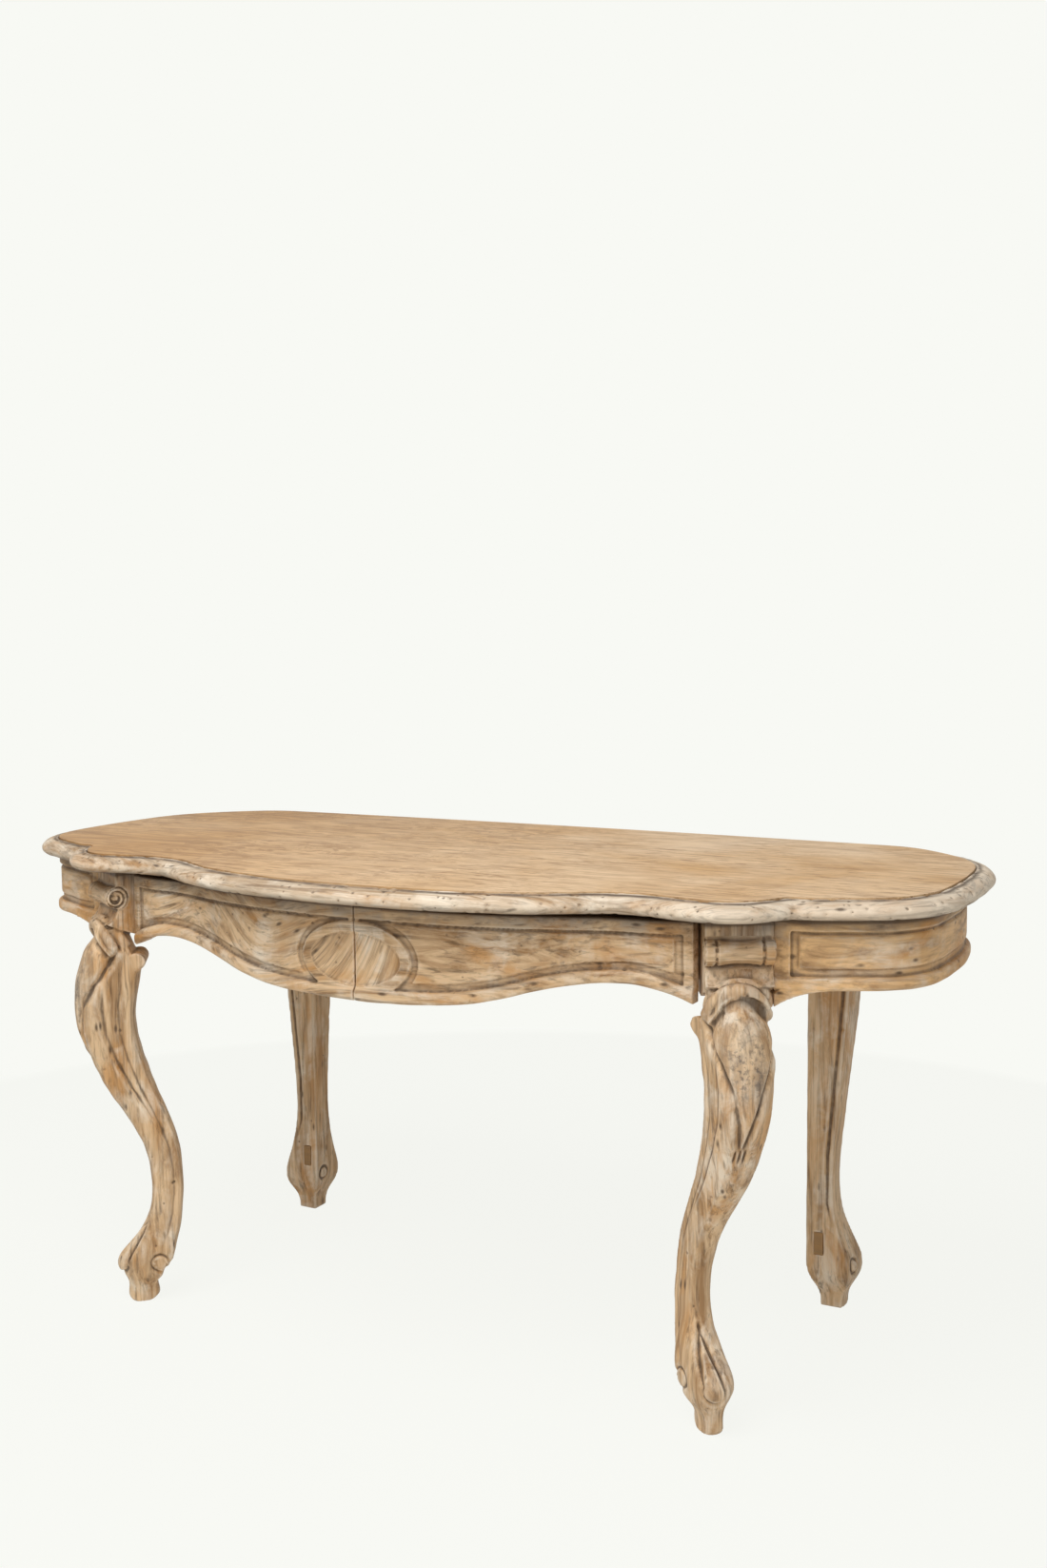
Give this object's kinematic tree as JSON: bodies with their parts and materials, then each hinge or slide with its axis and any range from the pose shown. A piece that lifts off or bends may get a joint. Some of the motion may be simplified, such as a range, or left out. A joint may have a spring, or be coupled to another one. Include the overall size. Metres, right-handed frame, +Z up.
{
  "type": "serpentine side table",
  "caption": "Serpentine side table with a moulded top, carved cabriole front legs, plain back legs and shallow drawers hidden in the bowed front apron.",
  "frame": {"origin": "on the floor, under the middle of the top's bounding box", "axes": "+X along the table to the right as seen from the front, +Y from the bowed front to the straight back, +Z up"},
  "size_m": [1.6342, 0.7762, 0.76],
  "materials": {
    "field_wood": "worn waxed veneer, golden tan",
    "lip_wood": "bleached, pitted",
    "carved_wood": "stripped and bleached, dark crevices",
    "inner_wood": "plain sawn secondary wood",
    "patch_wood": "darker let-in patch"
  },
  "bodies": {
    "frame": {"centre_guide": "inner_wood", "centre_kicker": "inner_wood", "centre_muntin": "inner_wood", "centre_runner": "inner_wood", "core_front_board": "inner_wood", "core_middle_board": "inner_wood", "core_rear_board": "inner_wood", "drawer_stops": "inner_wood", "front_lip": "lip_wood", "front_rail": "inner_wood", "left_back_leg": "carved_wood", "left_end_apron": "carved_wood", "left_front_leg": "carved_wood", "left_guide": "inner_wood", "left_kicker": "inner_wood", "left_lip": "lip_wood", "left_patch": "patch_wood", "left_runner": "inner_wood", "left_veneer": "field_wood", "rear_apron": "inner_wood", "rear_lip": "lip_wood", "right_back_leg": "carved_wood", "right_end_apron": "carved_wood", "right_front_leg": "carved_wood", "right_guide": "inner_wood", "right_kicker": "inner_wood", "right_lip": "lip_wood", "right_patch": "patch_wood", "right_runner": "inner_wood", "right_veneer": "field_wood"},
    "left_drawer": {"left_drawer_back": "inner_wood", "left_drawer_bottom": "inner_wood", "left_drawer_front": "carved_wood", "left_drawer_inner_side": "inner_wood", "left_drawer_outer_side": "inner_wood"},
    "right_drawer": {"right_drawer_back": "inner_wood", "right_drawer_bottom": "inner_wood", "right_drawer_front": "carved_wood", "right_drawer_inner_side": "inner_wood", "right_drawer_outer_side": "inner_wood"}
  },
  "joints": [
    {"name": "left_drawer_slide", "type": "slide", "parent": "frame", "child": "left_drawer", "axis": [0, -1, 0], "range_m": [0, 0.3]},
    {"name": "right_drawer_slide", "type": "slide", "parent": "frame", "child": "right_drawer", "axis": [0, -1, 0], "range_m": [0, 0.3]}
  ]
}
